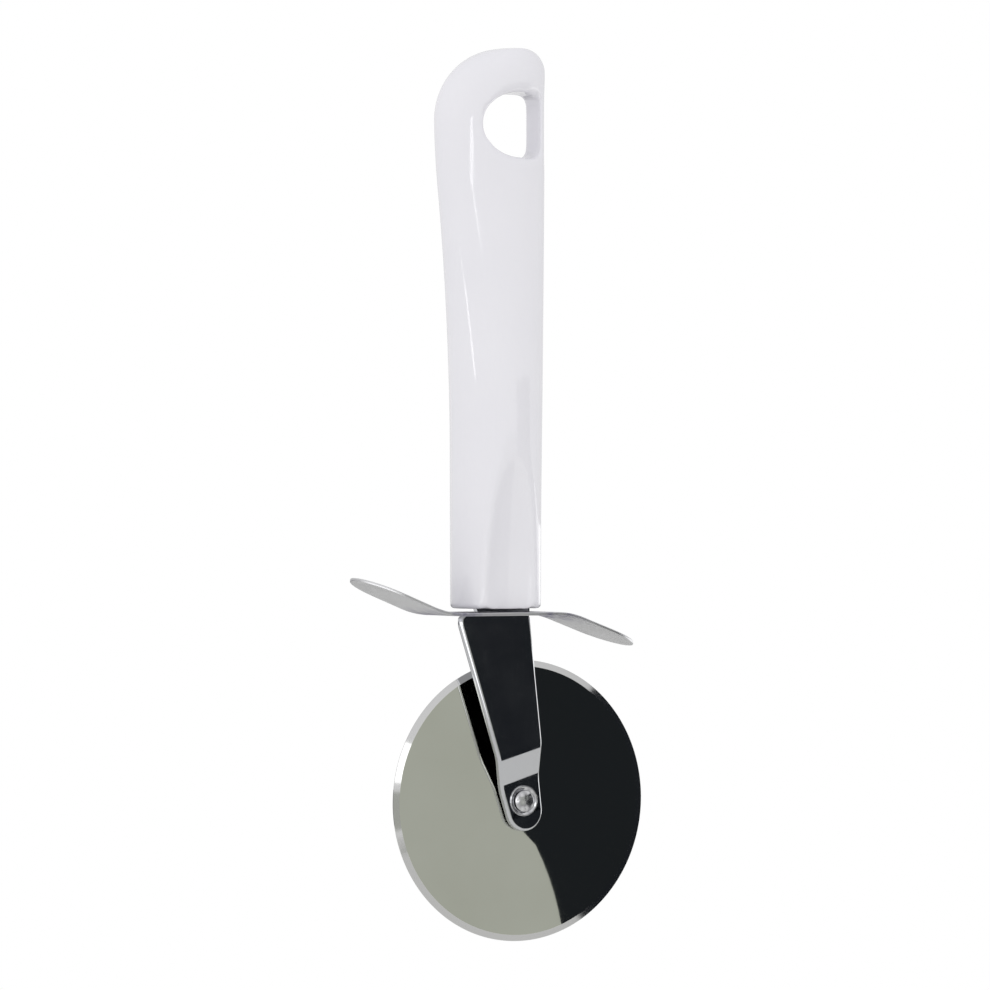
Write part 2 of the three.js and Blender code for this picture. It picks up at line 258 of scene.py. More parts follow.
# Injection-moulded gloss ABS: off-white with a cold cast and a soft gloss that blurs what it mirrors.
def mouldedAbs():
    look = plasticLook
    material, tree, main = newMaterial("moulded_gloss_abs", IOR=1.53)
    place = addNode(tree, "ShaderNodeTexCoord").outputs["Object"]
    cloud = addNode(tree, "ShaderNodeTexNoise", {}, {
        "Vector": place, "Scale": 1 / (look["cloudSize"] * mm), "Detail": 2})
    addNode(tree, "ShaderNodeMix", {"data_type": "RGBA"}, {
        "Factor": cloud.outputs["Fac"], "A": hexColour(look["light"]),
        "B": hexColour(look["shade"])}, {2: main.inputs["Base Color"]})
    handled = addNode(tree, "ShaderNodeTexNoise", {}, {
        "Vector": place, "Scale": 1 / (look["handledSize"] * mm), "Detail": 4})
    addNode(tree, "ShaderNodeMapRange", {}, {
        "Value": handled.outputs["Fac"], "From Min": 0.35, "From Max": 0.7,
        "To Min": look["glossLow"], "To Max": look["glossHigh"]},
        {"Result": main.inputs["Roughness"]})
    ripple = addNode(tree, "ShaderNodeTexNoise", {}, {
        "Vector": place, "Scale": 1 / (look["rippleSize"] * mm), "Detail": 1})
    addNode(tree, "ShaderNodeBump", {}, {
        "Height": ripple.outputs["Fac"], "Distance": look["rippleDepth"] * mm},
        {"Normal": main.inputs["Normal"]})
    return material


armLook = {
    "steel": "#C6C7C9", "dark": "#B6B7BB",
    "lean": 12.4,           # degrees that the grain leans with the arm
    "grainWidth": 0.16,     # mm across one brushed line, drawn about twice as coarse as real
    "grainLength": 14,
    "grainDepth": 0.0004,
    "smearSize": 6,
    "glossLow": 0.05, "glossHigh": 0.11,
}


# Bright ground stainless strip: near-mirror, with fine lines along its length from the belt.
def groundStainless():
    look = armLook
    material, tree, main = newMaterial("belt_ground_stainless", Metallic=1)
    place = addNode(tree, "ShaderNodeTexCoord").outputs["Object"]
    along = addNode(tree, "ShaderNodeMapping", {}, {
        "Vector": place, "Rotation": (0, math.radians(-look["lean"]), 0),
        "Scale": (1, 1, look["grainWidth"] / look["grainLength"])})
    grain = addNode(tree, "ShaderNodeTexNoise", {}, {
        "Vector": along.outputs["Vector"], "Scale": 1 / (look["grainWidth"] * mm), "Detail": 2})
    addNode(tree, "ShaderNodeMix", {"data_type": "RGBA"}, {
        "Factor": grain.outputs["Fac"], "A": hexColour(look["dark"]),
        "B": hexColour(look["steel"])}, {2: main.inputs["Base Color"]})
    smear = addNode(tree, "ShaderNodeTexNoise", {}, {
        "Vector": place, "Scale": 1 / (look["smearSize"] * mm), "Detail": 3})
    addNode(tree, "ShaderNodeMapRange", {}, {
        "Value": smear.outputs["Fac"], "From Min": 0.35, "From Max": 0.7,
        "To Min": look["glossLow"], "To Max": look["glossHigh"]},
        {"Result": main.inputs["Roughness"]})
    addNode(tree, "ShaderNodeBump", {}, {
        "Height": grain.outputs["Fac"], "Distance": look["grainDepth"] * mm},
        {"Normal": main.inputs["Normal"]})
    return material


guardLook = {
    "steel": "#C3C3C5", "stain": "#76718C",
    "mottleSize": 4, "grainSize": 0.5, "grainDepth": 0.002,
    "glossLow": 0.3, "glossHigh": 0.44,
    "stainUpFrom": 10, "stainUpTo": 14,  # mm from the middle over which the weld's heat colour rises
    "stainFrom": 15, "stainReach": 23,   # mm from the middle over which it fades again
    "stainLeast": 0.1,                   # share of it that the palest places keep
}


# Tumbled satin stainless: soft grey, slightly mottled, with a faint violet heat tint by the weld.
def satinStainless():
    look = guardLook
    material, tree, main = newMaterial("tumbled_satin_stainless", Metallic=1)
    place = addNode(tree, "ShaderNodeTexCoord").outputs["Object"]
    fromRoot = addNode(tree, "ShaderNodeVectorMath", {"operation": "DISTANCE"}, {
        0: place, 1: (axisX, 0, mouthZ)})
    mottle = addNode(tree, "ShaderNodeTexNoise", {}, {
        "Vector": place, "Scale": 1 / (look["mottleSize"] * mm), "Detail": 4})
    patches = addNode(tree, "ShaderNodeMapRange", {}, {
        "Value": mottle.outputs["Fac"], "From Min": 0.42, "From Max": 0.62,
        "To Min": look["stainLeast"], "To Max": 1})
    spread = addNode(tree, "ShaderNodeMapRange", {"interpolation_type": "SMOOTHSTEP"}, {
        "Value": fromRoot.outputs["Value"], "From Min": look["stainFrom"] * mm,
        "From Max": look["stainReach"] * mm, "To Min": 1.0, "To Max": 0.0})
    rise = addNode(tree, "ShaderNodeMapRange", {"interpolation_type": "SMOOTHSTEP"}, {
        "Value": fromRoot.outputs["Value"], "From Min": look["stainUpFrom"] * mm,
        "From Max": look["stainUpTo"] * mm, "To Min": look["stainLeast"], "To Max": 1})
    ringed = addNode(tree, "ShaderNodeMath", {"operation": "MULTIPLY"}, {
        0: spread.outputs["Result"], 1: rise.outputs["Result"]})
    tint = addNode(tree, "ShaderNodeMath", {"operation": "MULTIPLY"}, {
        0: ringed.outputs["Value"], 1: patches.outputs["Result"]})
    addNode(tree, "ShaderNodeMix", {"data_type": "RGBA"}, {
        "Factor": tint.outputs["Value"], "A": hexColour(look["steel"]),
        "B": hexColour(look["stain"])}, {2: main.inputs["Base Color"]})
    addNode(tree, "ShaderNodeMapRange", {}, {
        "Value": mottle.outputs["Fac"], "From Min": 0.3, "From Max": 0.7,
        "To Min": look["glossLow"], "To Max": look["glossHigh"]},
        {"Result": main.inputs["Roughness"]})
    grain = addNode(tree, "ShaderNodeTexNoise", {}, {
        "Vector": place, "Scale": 1 / (look["grainSize"] * mm), "Detail": 3})
    addNode(tree, "ShaderNodeBump", {}, {
        "Height": grain.outputs["Fac"], "Distance": look["grainDepth"] * mm},
        {"Normal": main.inputs["Normal"]})
    return material


wheelLook = {
    "steel": "#CECFC9", "warm": "#C4C5BD", "edge": "#C2C2C2",
    "ringSpacing": 0.35,    # mm between polishing lines, drawn coarser than real so that they show
    "ringDepth": 0.00003,
    "smearSize": 18,
    "glossLow": 0.012, "glossHigh": 0.026, "edgeGloss": 0.07,
}


# Mirror-polished stainless: a clear reflection with the faintest rings, and a ground, duller edge.
def mirrorStainless():
    look = wheelLook
    material, tree, main = newMaterial("mirror_polished_stainless", Metallic=1)
    radius = (wheelHigh.x - wheelLow.x) / 2
    ground = wheelShape["bevel"]
    place = addNode(tree, "ShaderNodeTexCoord").outputs["Object"]
    flat = addNode(tree, "ShaderNodeVectorMath", {"operation": "MULTIPLY"}, {
        0: place, 1: (1, 0, 1)})
    distance = addNode(tree, "ShaderNodeVectorMath", {"operation": "DISTANCE"}, {
        0: flat.outputs["Vector"], 1: (axle.x, 0, axle.z)})
    smear = addNode(tree, "ShaderNodeTexNoise", {}, {
        "Vector": place, "Scale": 1 / (look["smearSize"] * mm), "Detail": 3})
    polish = addNode(tree, "ShaderNodeMix", {"data_type": "RGBA"}, {
        "Factor": smear.outputs["Fac"], "A": hexColour(look["steel"]), "B": hexColour(look["warm"])})
    atEdge = addNode(tree, "ShaderNodeMapRange", {}, {
        "Value": distance.outputs["Value"], "From Min": radius - ground * mm,
        "From Max": radius - (ground - wheelShape["bevelBlend"]) * mm})
    addNode(tree, "ShaderNodeMix", {"data_type": "RGBA"}, {
        "Factor": atEdge.outputs["Result"], "A": polish.outputs[2],
        "B": hexColour(look["edge"])}, {2: main.inputs["Base Color"]})
    face = addNode(tree, "ShaderNodeMapRange", {}, {
        "Value": smear.outputs["Fac"], "From Min": 0.35, "From Max": 0.75,
        "To Min": look["glossLow"], "To Max": look["glossHigh"]})
    addNode(tree, "ShaderNodeMix", {"data_type": "FLOAT"}, {
        "Factor": atEdge.outputs["Result"], "A": face.outputs["Result"],
        "B": look["edgeGloss"]},
        {0: main.inputs["Roughness"]})
    line = addNode(tree, "ShaderNodeCombineXYZ", {}, {"X": distance.outputs["Value"]})
    rings = addNode(tree, "ShaderNodeTexNoise", {}, {
        "Vector": line.outputs["Vector"], "Scale": 1 / (look["ringSpacing"] * mm), "Detail": 3})
    addNode(tree, "ShaderNodeBump", {}, {
        "Height": rings.outputs["Fac"], "Distance": look["ringDepth"] * mm},
        {"Normal": main.inputs["Normal"]})
    return material


# the first two colours are painted light: a painted highlight for the middles of the hammer flats and
# painted shade for the creases between them
rivetLook = {
    "flat_painted_highlight": "#D4D4D6", "crease_painted_shade": "#8F8F94", "blowSize": 1.1, "blowDepth": 0.11,
    "blowReach": 2.6, "blowFade": 0.3,   # mm from the axle to where the hammer marks end
    "glossLow": 0.12, "glossHigh": 0.3, "washerGloss": 0.07,
}


# Cold-peened stainless rivet: small hammer flats that flash light and dark. Their colour is painted
# too: a painted highlight in the middle of each flat, darkening to painted shade in the creases
# between flats.
def peenedStainless():
    look = rivetLook
    material, tree, main = newMaterial("peened_stainless", Metallic=1)
    place = addNode(tree, "ShaderNodeTexCoord").outputs["Object"]
    blows = addNode(tree, "ShaderNodeTexVoronoi", {"feature": "SMOOTH_F1"}, {
        "Vector": place, "Scale": 1 / (look["blowSize"] * mm), "Smoothness": 0.35})
    # painted highlight at each flat's middle, painted shade where the flats meet
    addNode(tree, "ShaderNodeMix", {"data_type": "RGBA"}, {
        "Factor": blows.outputs["Distance"], "A": hexColour(look["flat_painted_highlight"]),
        "B": hexColour(look["crease_painted_shade"])}, {2: main.inputs["Base Color"]})
    worn = addNode(tree, "ShaderNodeMapRange", {}, {
        "Value": blows.outputs["Distance"], "From Min": 0, "From Max": 0.7,
        "To Min": look["glossLow"], "To Max": look["glossHigh"]})
    flat = addNode(tree, "ShaderNodeVectorMath", {"operation": "MULTIPLY"}, {
        0: place, 1: (1, 0, 1)})
    out = addNode(tree, "ShaderNodeVectorMath", {"operation": "DISTANCE"}, {
        0: flat.outputs["Vector"], 1: (axle.x, 0, axle.z)})
    onHead = addNode(tree, "ShaderNodeMapRange", {}, {
        "Value": out.outputs["Value"], "From Min": look["blowReach"] * mm,
        "From Max": (look["blowReach"] - look["blowFade"]) * mm, "To Min": 0.05, "To Max": 1})
    addNode(tree, "ShaderNodeBump", {}, {
        "Height": blows.outputs["Distance"], "Distance": look["blowDepth"] * mm,
        "Strength": onHead.outputs["Result"]}, {"Normal": main.inputs["Normal"]})
    addNode(tree, "ShaderNodeMix", {"data_type": "FLOAT"}, {
        "Factor": onHead.outputs["Result"], "A": look["washerGloss"],
        "B": worn.outputs["Result"]},
        {0: main.inputs["Roughness"]})
    return material


weldLook = {
    "bead": "#B4B2B0", "heat": "#77737F", "rippleSize": 0.35, "rippleDepth": 0.05,
    "glossLow": 0.2, "glossHigh": 0.4,
}


# Tack weld as laid: a rippled bead, straw and violet where the heat stayed longest.
def weldMetal():
    look = weldLook
    material, tree, main = newMaterial("tack_weld_bead", Metallic=1)
    place = addNode(tree, "ShaderNodeTexCoord").outputs["Object"]
    ripple = addNode(tree, "ShaderNodeTexNoise", {}, {
        "Vector": place, "Scale": 1 / (look["rippleSize"] * mm), "Detail": 3})
    addNode(tree, "ShaderNodeMix", {"data_type": "RGBA"}, {
        "Factor": ripple.outputs["Fac"], "A": hexColour(look["bead"]),
        "B": hexColour(look["heat"])}, {2: main.inputs["Base Color"]})
    addNode(tree, "ShaderNodeMapRange", {}, {
        "Value": ripple.outputs["Fac"], "From Min": 0.3, "From Max": 0.7,
        "To Min": look["glossLow"], "To Max": look["glossHigh"]},
        {"Result": main.inputs["Roughness"]})
    addNode(tree, "ShaderNodeBump", {}, {
        "Height": ripple.outputs["Fac"], "Distance": look["rippleDepth"] * mm},
        {"Normal": main.inputs["Normal"]})
    return material


# ---- handle

handleShape = {
    "halfWidth": 10.6, "mouthHalfDepth": 9.85, "gripHalfDepth": 10.3, "gripFullHeight": 36,
    "mouthRound": 1.0, "swellStart": 36, "swellTurnBelowTop": 32.3, "swellEndBelowTop": 14,
    "swellPower": 1.7, "swellLeft": 4.9, "bulgeStart": 20, "bulgeEndBelowTop": 16.6,
    "bulgeRight": 1.7, "headHalfDepth": 7.0, "shoulderRise": 17, "shoulderReach": 18,
    "cornerRadius": 5.5, "crownRise": 7.0, "crownHalfDepth": 3.4,
    "hollowRadius": 17, "hollowHalfHeight": 60.8, "hollowOut": 23.1, "hollowDrop": 4,
    "hollowSoft": 1.3, "hollowSoftCore": 0.3, "hollowSoftShare": 0.8,
    "holeWidth": 15.7, "holeTall": 14.9, "holeRoundWidth": 9.6, "holeCorner": 2.2,
    "holeSoft": 3.0, "holeSoftRight": 5.0, "holeRightFrom": 4, "holeSoftCore": 0.4,
    "holeCutHalf": 12, "skinFrom": 0.8,
    "sides": 96, "bodyRings": 46, "headRings": 26, "voxel": 0.4, "softening": 90,
    "pocketGap": 0.12, "pocketBelow": 4,
}


def fall(height, rise):
    t = min(1, max(0, (height - (handleLength - rise)) / rise))
    return math.sqrt(1 - t * t)


# Share of the left side's swell: gathering up the grip, then easing off into the head.
def swell(height):
    s = handleShape
    turn = handleLength - s["swellTurnBelowTop"]
    below = turn - s["swellStart"]
    above = s["swellTurnBelowTop"] - s["swellEndBelowTop"]
    atTurn = 2 * below / (2 * below + s["swellPower"] * above)
    if height <= s["swellStart"]:
        return 0
    if height < turn:
        return atTurn * ((height - s["swellStart"]) / below) ** s["swellPower"]
    left = max(0, (turn + above - height) / above)
    return 1 - (1 - atTurn) * left ** 2


def handleSection(height):
    s = handleShape
    bulge = smooth(s["bulgeStart"], handleLength - s["bulgeEndBelowTop"], height)
    inset = s["mouthRound"] * (1 - math.sqrt(1 - max(0, 1 - height / s["mouthRound"]) ** 2))
    left = s["halfWidth"] + s["swellLeft"] * swell(height) - inset
    left -= s["shoulderReach"] * (1 - fall(height, s["shoulderRise"]))
    right = s["halfWidth"] + s["bulgeRight"] * bulge - inset
    right -= s["cornerRadius"] * (1 - fall(height, s["cornerRadius"]))
    depth = s["mouthHalfDepth"] - inset
    depth += (s["gripHalfDepth"] - s["mouthHalfDepth"]) * smooth(0, s["gripFullHeight"], height)
    depth -= (s["gripHalfDepth"] - s["headHalfDepth"]) * smooth(
        s["gripFullHeight"], handleLength - s["bulgeEndBelowTop"], height)
    depth -= (s["headHalfDepth"] - s["crownHalfDepth"]) * (1 - fall(height, s["crownRise"]))
    return axisX + (right - left) / 2 * mm, (right + left) / 2 * mm, depth * mm


def handleHeights():
    s = handleShape
    heights = [s["mouthRound"] * (1 - math.cos(math.radians(15 * i))) for i in range(6)]
    headStart = handleLength - s["shoulderRise"]
    steps = s["bodyRings"]
    heights += [s["mouthRound"] + (headStart - s["mouthRound"]) * i / steps for i in range(steps + 1)]
    for i in range(1, s["headRings"] + 1):
        angle = math.pi / 2 * i / s["headRings"]
        heights.append(headStart + s["shoulderRise"] * math.sin(angle))
    return heights


# The whole outer form, drawn up from the mouth ring by ring and then scooped in front and behind.
def handleForm():
    s = handleShape
    deselectAll()
    bpy.ops.mesh.primitive_circle_add(vertices=s["sides"], radius=1, fill_type="NGON",
                                      location=(0, 0, 0))
    obj = bpy.context.object
    startEdit(obj, "FACE")
    bpy.ops.mesh.select_all(action="SELECT")
    heights = handleHeights()
    centre, width, depth = handleSection(heights[0])
    bpy.ops.transform.resize(value=(width, depth, 1), center_override=(0, 0, 0))
    bpy.ops.transform.translate(value=(centre, 0, mouthZ))
    for low, high in zip(heights, heights[1:]):
        nextCentre, nextWidth, nextDepth = handleSection(high)
        bpy.ops.mesh.extrude_region_move(TRANSFORM_OT_translate={
            "value": (nextCentre - centre, 0, (high - low) * mm)})
        bpy.ops.transform.resize(value=(nextWidth / width, nextDepth / depth, 1),
                                 center_override=(nextCentre, 0, mouthZ + high * mm))
        centre, width, depth = nextCentre, nextWidth, nextDepth
    bpy.ops.mesh.select_all(action="SELECT")
    bpy.ops.mesh.normals_make_consistent(inside=False)
    endEdit()
    settle(obj, "handle_form")
    applyModifier(obj, "SUBSURF", levels=1, render_levels=1)
    for side in (-1, 1):
        deselectAll()
        bpy.ops.mesh.primitive_uv_sphere_add(segments=192, ring_count=160, radius=1,
                                             location=(0, 0, 0))
        scoop = bpy.context.object
        startEdit(scoop)
        bpy.ops.mesh.select_all(action="SELECT")
        bpy.ops.transform.resize(center_override=(0, 0, 0), value=(
            s["hollowRadius"] * mm, s["hollowRadius"] * mm, s["hollowHalfHeight"] * mm))
        bpy.ops.transform.translate(value=(
            axisX, side * s["hollowOut"] * mm, mouthZ - s["hollowDrop"] * mm))
        endEdit()
        cutAway(obj, settle(scoop, "hollow_cutter"))
    return obj


def holeOutline():
    s = handleShape
    half = s["holeTall"] / 2
    right = s["holeWidth"] / 2
    middle = s["holeRoundWidth"] - right
    corner = s["holeCorner"]
    return (arc((middle, 0), s["holeRoundWidth"], 90, 270, 60, half / s["holeRoundWidth"])
            + arc((right - corner, corner - half), corner, -90, 0, 14)
            + arc((right - corner, half - corner), corner, 0, 90, 14))


# How far a point in the handle's face is outside the hole's outline, in mm, and negative inside.
def holeDistance(x, z):
    s = handleShape
    half = s["holeTall"] / 2
    right = s["holeWidth"] / 2
    middle = s["holeRoundWidth"] - right
    if x < middle:
        reach = math.hypot((x - middle) / s["holeRoundWidth"], z / half)
        slope = math.hypot((x - middle) / s["holeRoundWidth"] ** 2, z / half ** 2)
        return (reach - 1) * reach / max(slope, 0.001)
    corner = s["holeCorner"]
    acrossX = x - (right - corner)
    acrossZ = abs(z) - (half - corner)
    outside = math.hypot(max(acrossX, 0), max(acrossZ, 0))
    return outside + min(max(acrossX, acrossZ), 0) - corner


# How near a point is to the hole's rim and to the hollows' borders, each in mm.
def edgeDistance(co):
    s = handleShape
    height = (co.z - mouthZ) / mm
    hole = max(0, holeDistance(co.x / mm, co.z / mm))
    centre, width, depth = handleSection(max(0, height))
    across = min(1, abs(co.x - centre) / width)
    oval = depth / mm * math.sqrt(1 - across * across)
    cut = 1 - ((co.x - axisX) / mm / s["hollowRadius"]) ** 2 - (
        (height + s["hollowDrop"]) / s["hollowHalfHeight"]) ** 2
    if cut <= 0 or abs(co.y) / mm < 2:
        return hole, 99
    hollow = s["hollowOut"] - s["hollowRadius"] * math.sqrt(cut)
    return hole, abs(oval - hollow)


def makeHandle(material):
    s = handleShape
    form = handleForm()
    handle = copyOf(form, "handle_moulding")
    front = -s["holeCutHalf"] * mm
    outline = [Vector((x * mm, front, z * mm)) for x, z in holeOutline()]
    cutter = drawOutline("hole_cutter", outline[:-1])
    thicken(cutter, (0, -2 * front, 0))
    cutAway(handle, cutter)
    applyModifier(handle, "REMESH", mode="VOXEL", voxel_size=s["voxel"] * mm, adaptivity=0)
    print("handle remeshed", len(handle.data.vertices))
    skin = handle.vertex_groups.new(name="skin")
    soft = handle.vertex_groups.new(name="soft")
    for vert in handle.data.vertices:
        hole, hollow = edgeDistance(vert.co)
        right = vert.co.x > s["holeRightFrom"] * mm
        reach = s["holeSoftRight"] if right else s["holeSoft"]
        nearHole = 1 - smooth(s["holeSoftCore"] * reach, reach, hole)
        nearHollow = 1 - smooth(s["hollowSoftCore"] * s["hollowSoft"], s["hollowSoft"], hollow)
        skin.add([vert.index], 1 if hole > s["skinFrom"] else 0, "REPLACE")
        soft.add([vert.index], max(nearHole, nearHollow * s["hollowSoftShare"]), "REPLACE")
    applyModifier(handle, "SHRINKWRAP", target=form, vertex_group="skin",
                  wrap_method="NEAREST_SURFACEPOINT")
    applyModifier(handle, "SMOOTH", factor=0.5, iterations=s["softening"], vertex_group="soft")
    bpy.data.objects.remove(form)
    cutTangPocket(handle)
    smoothShade(handle, 50)
    finishPiece(handle, "handle", "holder", material)


def cutTangPocket(handle):
    gap = handleShape["pocketGap"] * mm
    width = tangShape["width"] * mm + 2 * gap
    thick = plateShape["thickness"] * mm + 2 * gap
    tall = tangShape["length"] * mm + gap
    below = handleShape["pocketBelow"] * mm
    middle = (axisX + tangShape["centreX"] * mm, 0, mouthZ + tall / 2 - below / 2)
    cutAway(handle, cubeCutter("pocket_cutter", middle, (width, thick, tall + below)))


# ---- arm and tang

plateShape = {
    "thickness": 1.6, "edgeRoll": 0.8, "backRoll": 0.4,
    "shoulderWidth": 18.9, "shoulderCentreX": -0.65, "shoulderDrop": 2.2,
    "tipCentreX": 9.05, "tipDrop": 46.9, "tipRadius": 4.75,
    "seatDrop": 0.475, "cornerCut": 0.5, "stepTall": 0.7, "stepWide": 0.1, "rivetBore": 1.6,
    # the crank and its soft bends, in mm above the axle and in degrees
    "crankOffset": 2.8, "crankTilt": 16, "crankTop": 11.8, "crankFoot": 4.1, "topSoft": 1.1,
    "footSoft": 1.6, "crankCuts": 30,
    "twist": -3, "twistFrom": 0.3, "twistTo": -0.8, "twistCuts": 4,
    "squareDown": 1.9,
}
tangShape = {
    "width": 13.9, "centreX": 1.45, "length": 74, "topWidth": 10, "topCentreX": 0.6,
    "topRadius": 3, "lockRadius": 2.6, "lockHeights": (16, 37, 58),
}


def tipTangent(fromX, fromZ, side):
    p = plateShape
    dx, dz = p["tipCentreX"] - fromX, -p["tipDrop"] - fromZ
    reach = math.hypot(dx, dz)
    turnBy = math.asin(p["tipRadius"] / reach)
    angle = math.atan2(dz, dx) - side * turnBy
    length = math.sqrt(reach ** 2 - p["tipRadius"] ** 2)
    touch = (fromX + length * math.cos(angle), fromZ + length * math.sin(angle))
    return math.degrees(math.atan2(touch[1] + p["tipDrop"], touch[0] - p["tipCentreX"]))


# The plate's outline in mm from the handle's middle line and mouth.
def plateOutline():
    p, t = plateShape, tangShape
    shoulder = ((guardLow.z + guardHigh.z) / 2 - mouthZ) / mm - p["seatDrop"]
    cut = p["cornerCut"]
    left = p["shoulderCentreX"] - p["shoulderWidth"] / 2
    right = p["shoulderCentreX"] + p["shoulderWidth"] / 2
    flank = shoulder - p["shoulderDrop"]
    start = tipTangent(left, flank, 1) % 360
    end = tipTangent(right, shoulder, -1) % 360 + 360
    topLeft = t["topCentreX"] - t["topWidth"] / 2
    topRight = t["topCentreX"] + t["topWidth"] / 2
    radius = t["topRadius"]
    tangLeft = t["centreX"] - t["width"] / 2
    tangRight = t["centreX"] + t["width"] / 2
    points = [(tangLeft, 0), (tangLeft, shoulder), (left + cut, shoulder), (left, shoulder - cut)]
    points += [(left, flank + p["stepTall"]), (left + p["stepWide"], flank)]
    points += arc((p["tipCentreX"], -p["tipDrop"]), p["tipRadius"], start, end, 36)
    points += [(right, shoulder - cut), (right - cut, shoulder), (tangRight, shoulder), (tangRight, 0)]
    points += arc((topRight - radius, t["length"] - radius), radius, 0, 90, 10)
    points += arc((topLeft + radius, t["length"] - radius), radius, 90, 180, 10)
    return points


def plateDrill(x, z, radius, name):
    deselectAll()
    bpy.ops.mesh.primitive_cylinder_add(vertices=64, radius=radius * mm, depth=12 * mm,
                                        location=(x, 0, z), rotation=(math.pi / 2, 0, 0))
    return settle(bpy.context.object, name)


def makeArm(material):
    p, t = plateShape, tangShape
    front = -p["thickness"] / 2 * mm
    points = [Vector((axisX + x * mm, front, mouthZ + z * mm)) for x, z in plateOutline()]
    arm = drawOutline("arm_plate", points)
    thicken(arm, (0, p["thickness"] * mm, 0))
    for height in t["lockHeights"]:
        along = height / t["length"]
        x = t["centreX"] + (t["topCentreX"] - t["centreX"]) * along
        cutAway(arm, plateDrill(axisX + x * mm, mouthZ + height * mm, t["lockRadius"], "lock_drill"))
    cutAway(arm, plateDrill(axle.x, axle.z, p["rivetBore"], "rivet_drill"))
    bendPlate(arm)
    twistPlate(arm)
    markEdges(arm)
    applyModifier(arm, "BEVEL", width=p["edgeRoll"] * mm, segments=6, limit_method="WEIGHT",
                  use_clamp_overlap=False)
    smoothShade(arm, 35, weighted=True)
    finishPiece(arm, "arm_and_tang", "holder", material)


# Height above the axle, measured square to the bend lines.
def aboveAxle(co):
    tilt = math.radians(plateShape["crankTilt"])
    return ((co.x - axle.x) * -math.sin(tilt) + (co.z - axle.z) * math.cos(tilt)) / mm


# How far back the plate is set at a height above the axle: two soft bends and a straight web.
def crankBack(height):
    p = plateShape
    top, foot = p["crankTop"], p["crankFoot"]

    def ramp(at, soft):
        t = (at + soft - height) / (2 * soft)
        if t <= 0:
            return 0
        return soft * t * t if t < 1 else at - height

    slope = p["crankOffset"] / (top - foot)
    return slope * (ramp(top, p["topSoft"]) - ramp(foot, p["footSoft"]))


def bendPlate(arm):
    p = plateShape
    tilt = math.radians(p["crankTilt"])
    across = Vector((-math.sin(tilt), 0, math.cos(tilt)))
    top = p["crankTop"] + p["topSoft"]
    foot = p["crankFoot"] - p["footSoft"]
    lines = [top + (foot - top) * i / p["crankCuts"] for i in range(p["crankCuts"] + 1)]
    for line in lines:
        cutAcross(arm, axle + across * line * mm, across)
    startEdit(arm)
    for upper, lower in zip(lines, lines[1:]):
        pickVerts(arm, lambda co: aboveAxle(co) < (upper + lower) / 2)
        bpy.ops.transform.translate(value=(0, (crankBack(lower) - crankBack(upper)) * mm, 0))
    endEdit()


# At the neck the strip is wrung a few degrees, so that the arm looks slightly to the right.
def twistPlate(arm):
    p = plateShape
    steps = p["twistCuts"]
    levels = [p["twistFrom"] + (p["twistTo"] - p["twistFrom"]) * i / steps for i in range(steps + 1)]
    for level in levels:
        cutAcross(arm, Vector((0, 0, mouthZ + level * mm)), Vector((0, 0, 1)))
    startEdit(arm)
    for upper, lower in zip(levels, levels[1:]):
        pickVerts(arm, lambda co: co.z < mouthZ + (upper + lower) / 2 * mm)
        bpy.ops.transform.rotate(value=math.radians(p["twist"] / steps), orient_axis="Z",
                                 orient_type="GLOBAL", center_override=(axle.x, 0, 0))
    endEdit()


# The stamping rolls the front edges over widely and the back ones less; the shoulders stay square
# under the guard, and so does the tang.
def markEdges(arm):
    p = plateShape
    under = mouthZ - p["squareDown"] * mm
    for side, weight in ((-1, 1.0), (1, p["backRoll"])):
        startEdit(arm, "EDGE")
        bpy.ops.mesh.edges_select_sharp(sharpness=math.radians(50))
        mesh = bmesh.from_edit_mesh(arm.data)
        for edge in mesh.edges:
            middle = (edge.verts[0].co + edge.verts[1].co) / 2
            depth = middle.y / mm - crankBack(aboveAxle(middle))
            inHole = math.hypot(middle.x - axle.x, middle.z - axle.z) < 2 * mm
            upright = abs(edge.verts[0].co.y - edge.verts[1].co.y) > 0.8 * mm
            if depth * side < 0.02 or middle.z > under or inHole or upright:
                edge.select_set(False)
        bmesh.update_edit_mesh(arm.data)
        bpy.ops.transform.edge_bevelweight(value=weight)
        endEdit()


# ---- finger guard

guardShape = {
    "thickness": 0.75, "width": 17, "length": 71.5, "centreX": -0.65, "bendAt": 15.8,
    "bendRadius": 20, "leftAngle": 22.1, "rightAngle": 20.5, "tipLength": 9,
    "slotWidth": 14.3, "slotThick": 2.6, "slotDeep": 6, "edgeRound": 0.18, "cuts": 14,
}


def wingRise(out, degrees):
    g = guardShape
    angle = math.radians(degrees)
    start = g["bendAt"] - g["bendRadius"] * math.tan(angle / 2)
    arcEnd = start + g["bendRadius"] * math.sin(angle)
    if out <= start:
        return 0
    if out < arcEnd:
        return g["bendRadius"] - math.sqrt(g["bendRadius"] ** 2 - (out - start) ** 2)
    return g["bendRadius"] * (1 - math.cos(angle)) + (out - arcEnd) * math.tan(angle)


